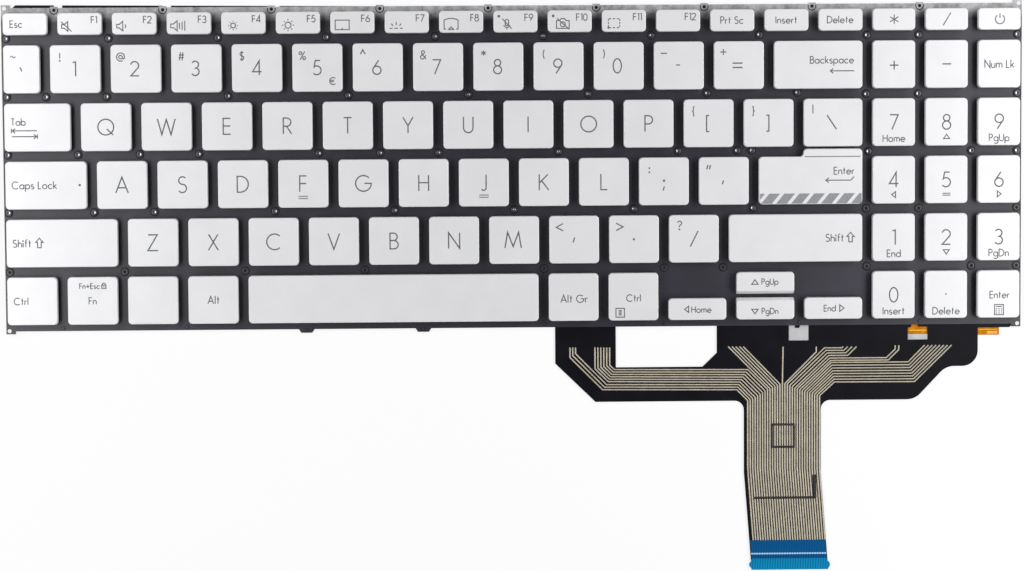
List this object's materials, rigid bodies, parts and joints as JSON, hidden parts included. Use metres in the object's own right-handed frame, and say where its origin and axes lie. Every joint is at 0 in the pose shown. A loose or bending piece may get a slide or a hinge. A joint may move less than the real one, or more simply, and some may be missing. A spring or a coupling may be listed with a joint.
{
  "type": "laptop replacement keyboard",
  "caption": "Flat laptop keyboard module with silver chiclet keys on a charcoal support plate, a black film circuit with a printed tail and a blue contact end.",
  "frame": {"origin": "centre of the module's underside, below the middle of the support plate", "axes": "+X along the rows to the numeric pad, +Y to the function row, +Z out of the key tops"},
  "size_m": [0.3236, 0.182, 0.0043],
  "materials": {
    "cap": "satin silver coat on moulded ABS",
    "plate": "charcoal coat on stamped steel",
    "film": "black printed polyester film",
    "stiffener": "blue polyester stiffener",
    "dome": "translucent silicone",
    "link": "natural acetal",
    "wire": "drawn spring steel",
    "guide": "clear acrylic sheet",
    "reflector": "white reflector film",
    "strip": "amber polyimide"
  },
  "bodies": {
    "base": {"support_plate": "plate", "membrane_circuit": "film", "tail_stiffener": "stiffener", "rubber_domes": "dome", "scissor_links": "link", "stabiliser_bars": "wire", "light_guide": "guide", "reflector_film": "reflector", "led_strip": "strip", "fixed_keycaps": "cap"},
    "key_tab": {"key_tab": "cap"},
    "key_q": {"key_q": "cap"},
    "key_w": {"key_w": "cap"},
    "key_e": {"key_e": "cap"},
    "key_r": {"key_r": "cap"},
    "key_t": {"key_t": "cap"},
    "key_y": {"key_y": "cap"},
    "key_u": {"key_u": "cap"},
    "key_i": {"key_i": "cap"},
    "key_o": {"key_o": "cap"},
    "key_p": {"key_p": "cap"},
    "key_left_bracket": {"key_left_bracket": "cap"},
    "key_right_bracket": {"key_right_bracket": "cap"},
    "key_backslash": {"key_backslash": "cap"},
    "key_caps_lock": {"key_caps_lock": "cap"},
    "key_a": {"key_a": "cap"},
    "key_s": {"key_s": "cap"},
    "key_d": {"key_d": "cap"},
    "key_f": {"key_f": "cap"},
    "key_g": {"key_g": "cap"},
    "key_h": {"key_h": "cap"},
    "key_j": {"key_j": "cap"},
    "key_k": {"key_k": "cap"},
    "key_l": {"key_l": "cap"},
    "key_semicolon": {"key_semicolon": "cap"},
    "key_quote": {"key_quote": "cap"},
    "key_enter": {"key_enter": "cap"},
    "key_left_shift": {"key_left_shift": "cap"},
    "key_z": {"key_z": "cap"},
    "key_x": {"key_x": "cap"},
    "key_c": {"key_c": "cap"},
    "key_v": {"key_v": "cap"},
    "key_b": {"key_b": "cap"},
    "key_n": {"key_n": "cap"},
    "key_m": {"key_m": "cap"},
    "key_comma": {"key_comma": "cap"},
    "key_period": {"key_period": "cap"},
    "key_slash": {"key_slash": "cap"},
    "key_right_shift": {"key_right_shift": "cap"},
    "key_left_ctrl": {"key_left_ctrl": "cap"},
    "key_fn": {"key_fn": "cap"},
    "key_system": {"key_system": "cap"},
    "key_left_alt": {"key_left_alt": "cap"},
    "key_space": {"key_space": "cap"},
    "key_right_alt": {"key_right_alt": "cap"},
    "key_right_ctrl": {"key_right_ctrl": "cap"},
    "key_arrow_left": {"key_arrow_left": "cap"},
    "key_arrow_up": {"key_arrow_up": "cap"},
    "key_arrow_down": {"key_arrow_down": "cap"},
    "key_arrow_right": {"key_arrow_right": "cap"}
  },
  "joints": [
    {"name": "press_tab", "type": "slide", "parent": "base", "child": "key_tab", "axis": [0, 0, -1], "range_m": [0, 0.0014], "stiffness_N_per_m": 300, "springref_m": -0.0005, "deforming": ["rubber_domes", "scissor_links"]},
    {"name": "press_q", "type": "slide", "parent": "base", "child": "key_q", "axis": [0, 0, -1], "range_m": [0, 0.0014], "stiffness_N_per_m": 300, "springref_m": -0.0005, "deforming": ["rubber_domes", "scissor_links"]},
    {"name": "press_w", "type": "slide", "parent": "base", "child": "key_w", "axis": [0, 0, -1], "range_m": [0, 0.0014], "stiffness_N_per_m": 300, "springref_m": -0.0005, "deforming": ["rubber_domes", "scissor_links"]},
    {"name": "press_e", "type": "slide", "parent": "base", "child": "key_e", "axis": [0, 0, -1], "range_m": [0, 0.0014], "stiffness_N_per_m": 300, "springref_m": -0.0005, "deforming": ["rubber_domes", "scissor_links"]},
    {"name": "press_r", "type": "slide", "parent": "base", "child": "key_r", "axis": [0, 0, -1], "range_m": [0, 0.0014], "stiffness_N_per_m": 300, "springref_m": -0.0005, "deforming": ["rubber_domes", "scissor_links"]},
    {"name": "press_t", "type": "slide", "parent": "base", "child": "key_t", "axis": [0, 0, -1], "range_m": [0, 0.0014], "stiffness_N_per_m": 300, "springref_m": -0.0005, "deforming": ["rubber_domes", "scissor_links"]},
    {"name": "press_y", "type": "slide", "parent": "base", "child": "key_y", "axis": [0, 0, -1], "range_m": [0, 0.0014], "stiffness_N_per_m": 300, "springref_m": -0.0005, "deforming": ["rubber_domes", "scissor_links"]},
    {"name": "press_u", "type": "slide", "parent": "base", "child": "key_u", "axis": [0, 0, -1], "range_m": [0, 0.0014], "stiffness_N_per_m": 300, "springref_m": -0.0005, "deforming": ["rubber_domes", "scissor_links"]},
    {"name": "press_i", "type": "slide", "parent": "base", "child": "key_i", "axis": [0, 0, -1], "range_m": [0, 0.0014], "stiffness_N_per_m": 300, "springref_m": -0.0005, "deforming": ["rubber_domes", "scissor_links"]},
    {"name": "press_o", "type": "slide", "parent": "base", "child": "key_o", "axis": [0, 0, -1], "range_m": [0, 0.0014], "stiffness_N_per_m": 300, "springref_m": -0.0005, "deforming": ["rubber_domes", "scissor_links"]},
    {"name": "press_p", "type": "slide", "parent": "base", "child": "key_p", "axis": [0, 0, -1], "range_m": [0, 0.0014], "stiffness_N_per_m": 300, "springref_m": -0.0005, "deforming": ["rubber_domes", "scissor_links"]},
    {"name": "press_left_bracket", "type": "slide", "parent": "base", "child": "key_left_bracket", "axis": [0, 0, -1], "range_m": [0, 0.0014], "stiffness_N_per_m": 300, "springref_m": -0.0005, "deforming": ["rubber_domes", "scissor_links"]},
    {"name": "press_right_bracket", "type": "slide", "parent": "base", "child": "key_right_bracket", "axis": [0, 0, -1], "range_m": [0, 0.0014], "stiffness_N_per_m": 300, "springref_m": -0.0005, "deforming": ["rubber_domes", "scissor_links"]},
    {"name": "press_backslash", "type": "slide", "parent": "base", "child": "key_backslash", "axis": [0, 0, -1], "range_m": [0, 0.0014], "stiffness_N_per_m": 300, "springref_m": -0.0005, "deforming": ["rubber_domes", "scissor_links"]},
    {"name": "press_caps_lock", "type": "slide", "parent": "base", "child": "key_caps_lock", "axis": [0, 0, -1], "range_m": [0, 0.0014], "stiffness_N_per_m": 300, "springref_m": -0.0005, "deforming": ["rubber_domes", "scissor_links", "stabiliser_bars"]},
    {"name": "press_a", "type": "slide", "parent": "base", "child": "key_a", "axis": [0, 0, -1], "range_m": [0, 0.0014], "stiffness_N_per_m": 300, "springref_m": -0.0005, "deforming": ["rubber_domes", "scissor_links"]},
    {"name": "press_s", "type": "slide", "parent": "base", "child": "key_s", "axis": [0, 0, -1], "range_m": [0, 0.0014], "stiffness_N_per_m": 300, "springref_m": -0.0005, "deforming": ["rubber_domes", "scissor_links"]},
    {"name": "press_d", "type": "slide", "parent": "base", "child": "key_d", "axis": [0, 0, -1], "range_m": [0, 0.0014], "stiffness_N_per_m": 300, "springref_m": -0.0005, "deforming": ["rubber_domes", "scissor_links"]},
    {"name": "press_f", "type": "slide", "parent": "base", "child": "key_f", "axis": [0, 0, -1], "range_m": [0, 0.0014], "stiffness_N_per_m": 300, "springref_m": -0.0005, "deforming": ["rubber_domes", "scissor_links"]},
    {"name": "press_g", "type": "slide", "parent": "base", "child": "key_g", "axis": [0, 0, -1], "range_m": [0, 0.0014], "stiffness_N_per_m": 300, "springref_m": -0.0005, "deforming": ["rubber_domes", "scissor_links"]},
    {"name": "press_h", "type": "slide", "parent": "base", "child": "key_h", "axis": [0, 0, -1], "range_m": [0, 0.0014], "stiffness_N_per_m": 300, "springref_m": -0.0005, "deforming": ["rubber_domes", "scissor_links"]},
    {"name": "press_j", "type": "slide", "parent": "base", "child": "key_j", "axis": [0, 0, -1], "range_m": [0, 0.0014], "stiffness_N_per_m": 300, "springref_m": -0.0005, "deforming": ["rubber_domes", "scissor_links"]},
    {"name": "press_k", "type": "slide", "parent": "base", "child": "key_k", "axis": [0, 0, -1], "range_m": [0, 0.0014], "stiffness_N_per_m": 300, "springref_m": -0.0005, "deforming": ["rubber_domes", "scissor_links"]},
    {"name": "press_l", "type": "slide", "parent": "base", "child": "key_l", "axis": [0, 0, -1], "range_m": [0, 0.0014], "stiffness_N_per_m": 300, "springref_m": -0.0005, "deforming": ["rubber_domes", "scissor_links"]},
    {"name": "press_semicolon", "type": "slide", "parent": "base", "child": "key_semicolon", "axis": [0, 0, -1], "range_m": [0, 0.0014], "stiffness_N_per_m": 300, "springref_m": -0.0005, "deforming": ["rubber_domes", "scissor_links"]},
    {"name": "press_quote", "type": "slide", "parent": "base", "child": "key_quote", "axis": [0, 0, -1], "range_m": [0, 0.0014], "stiffness_N_per_m": 300, "springref_m": -0.0005, "deforming": ["rubber_domes", "scissor_links"]},
    {"name": "press_enter", "type": "slide", "parent": "base", "child": "key_enter", "axis": [0, 0, -1], "range_m": [0, 0.0014], "stiffness_N_per_m": 300, "springref_m": -0.0005, "deforming": ["rubber_domes", "scissor_links", "stabiliser_bars"]},
    {"name": "press_left_shift", "type": "slide", "parent": "base", "child": "key_left_shift", "axis": [0, 0, -1], "range_m": [0, 0.0014], "stiffness_N_per_m": 300, "springref_m": -0.0005, "deforming": ["rubber_domes", "scissor_links", "stabiliser_bars"]},
    {"name": "press_z", "type": "slide", "parent": "base", "child": "key_z", "axis": [0, 0, -1], "range_m": [0, 0.0014], "stiffness_N_per_m": 300, "springref_m": -0.0005, "deforming": ["rubber_domes", "scissor_links"]},
    {"name": "press_x", "type": "slide", "parent": "base", "child": "key_x", "axis": [0, 0, -1], "range_m": [0, 0.0014], "stiffness_N_per_m": 300, "springref_m": -0.0005, "deforming": ["rubber_domes", "scissor_links"]},
    {"name": "press_c", "type": "slide", "parent": "base", "child": "key_c", "axis": [0, 0, -1], "range_m": [0, 0.0014], "stiffness_N_per_m": 300, "springref_m": -0.0005, "deforming": ["rubber_domes", "scissor_links"]},
    {"name": "press_v", "type": "slide", "parent": "base", "child": "key_v", "axis": [0, 0, -1], "range_m": [0, 0.0014], "stiffness_N_per_m": 300, "springref_m": -0.0005, "deforming": ["rubber_domes", "scissor_links"]},
    {"name": "press_b", "type": "slide", "parent": "base", "child": "key_b", "axis": [0, 0, -1], "range_m": [0, 0.0014], "stiffness_N_per_m": 300, "springref_m": -0.0005, "deforming": ["rubber_domes", "scissor_links"]},
    {"name": "press_n", "type": "slide", "parent": "base", "child": "key_n", "axis": [0, 0, -1], "range_m": [0, 0.0014], "stiffness_N_per_m": 300, "springref_m": -0.0005, "deforming": ["rubber_domes", "scissor_links"]},
    {"name": "press_m", "type": "slide", "parent": "base", "child": "key_m", "axis": [0, 0, -1], "range_m": [0, 0.0014], "stiffness_N_per_m": 300, "springref_m": -0.0005, "deforming": ["rubber_domes", "scissor_links"]},
    {"name": "press_comma", "type": "slide", "parent": "base", "child": "key_comma", "axis": [0, 0, -1], "range_m": [0, 0.0014], "stiffness_N_per_m": 300, "springref_m": -0.0005, "deforming": ["rubber_domes", "scissor_links"]},
    {"name": "press_period", "type": "slide", "parent": "base", "child": "key_period", "axis": [0, 0, -1], "range_m": [0, 0.0014], "stiffness_N_per_m": 300, "springref_m": -0.0005, "deforming": ["rubber_domes", "scissor_links"]},
    {"name": "press_slash", "type": "slide", "parent": "base", "child": "key_slash", "axis": [0, 0, -1], "range_m": [0, 0.0014], "stiffness_N_per_m": 300, "springref_m": -0.0005, "deforming": ["rubber_domes", "scissor_links"]},
    {"name": "press_right_shift", "type": "slide", "parent": "base", "child": "key_right_shift", "axis": [0, 0, -1], "range_m": [0, 0.0014], "stiffness_N_per_m": 300, "springref_m": -0.0005, "deforming": ["rubber_domes", "scissor_links", "stabiliser_bars"]},
    {"name": "press_left_ctrl", "type": "slide", "parent": "base", "child": "key_left_ctrl", "axis": [0, 0, -1], "range_m": [0, 0.0014], "stiffness_N_per_m": 300, "springref_m": -0.0005, "deforming": ["rubber_domes", "scissor_links"]},
    {"name": "press_fn", "type": "slide", "parent": "base", "child": "key_fn", "axis": [0, 0, -1], "range_m": [0, 0.0014], "stiffness_N_per_m": 300, "springref_m": -0.0005, "deforming": ["rubber_domes", "scissor_links"]},
    {"name": "press_system", "type": "slide", "parent": "base", "child": "key_system", "axis": [0, 0, -1], "range_m": [0, 0.0014], "stiffness_N_per_m": 300, "springref_m": -0.0005, "deforming": ["rubber_domes", "scissor_links"]},
    {"name": "press_left_alt", "type": "slide", "parent": "base", "child": "key_left_alt", "axis": [0, 0, -1], "range_m": [0, 0.0014], "stiffness_N_per_m": 300, "springref_m": -0.0005, "deforming": ["rubber_domes", "scissor_links"]},
    {"name": "press_space", "type": "slide", "parent": "base", "child": "key_space", "axis": [0, 0, -1], "range_m": [0, 0.0014], "stiffness_N_per_m": 300, "springref_m": -0.0005, "deforming": ["rubber_domes", "scissor_links", "stabiliser_bars"]},
    {"name": "press_right_alt", "type": "slide", "parent": "base", "child": "key_right_alt", "axis": [0, 0, -1], "range_m": [0, 0.0014], "stiffness_N_per_m": 300, "springref_m": -0.0005, "deforming": ["rubber_domes", "scissor_links"]},
    {"name": "press_right_ctrl", "type": "slide", "parent": "base", "child": "key_right_ctrl", "axis": [0, 0, -1], "range_m": [0, 0.0014], "stiffness_N_per_m": 300, "springref_m": -0.0005, "deforming": ["rubber_domes", "scissor_links"]},
    {"name": "press_arrow_left", "type": "slide", "parent": "base", "child": "key_arrow_left", "axis": [0, 0, -1], "range_m": [0, 0.0014], "stiffness_N_per_m": 300, "springref_m": -0.0005, "deforming": ["rubber_domes", "scissor_links"]},
    {"name": "press_arrow_up", "type": "slide", "parent": "base", "child": "key_arrow_up", "axis": [0, 0, -1], "range_m": [0, 0.0014], "stiffness_N_per_m": 300, "springref_m": -0.0005, "deforming": ["rubber_domes", "scissor_links"]},
    {"name": "press_arrow_down", "type": "slide", "parent": "base", "child": "key_arrow_down", "axis": [0, 0, -1], "range_m": [0, 0.0014], "stiffness_N_per_m": 300, "springref_m": -0.0005, "deforming": ["rubber_domes", "scissor_links"]},
    {"name": "press_arrow_right", "type": "slide", "parent": "base", "child": "key_arrow_right", "axis": [0, 0, -1], "range_m": [0, 0.0014], "stiffness_N_per_m": 300, "springref_m": -0.0005, "deforming": ["rubber_domes", "scissor_links"]}
  ]
}
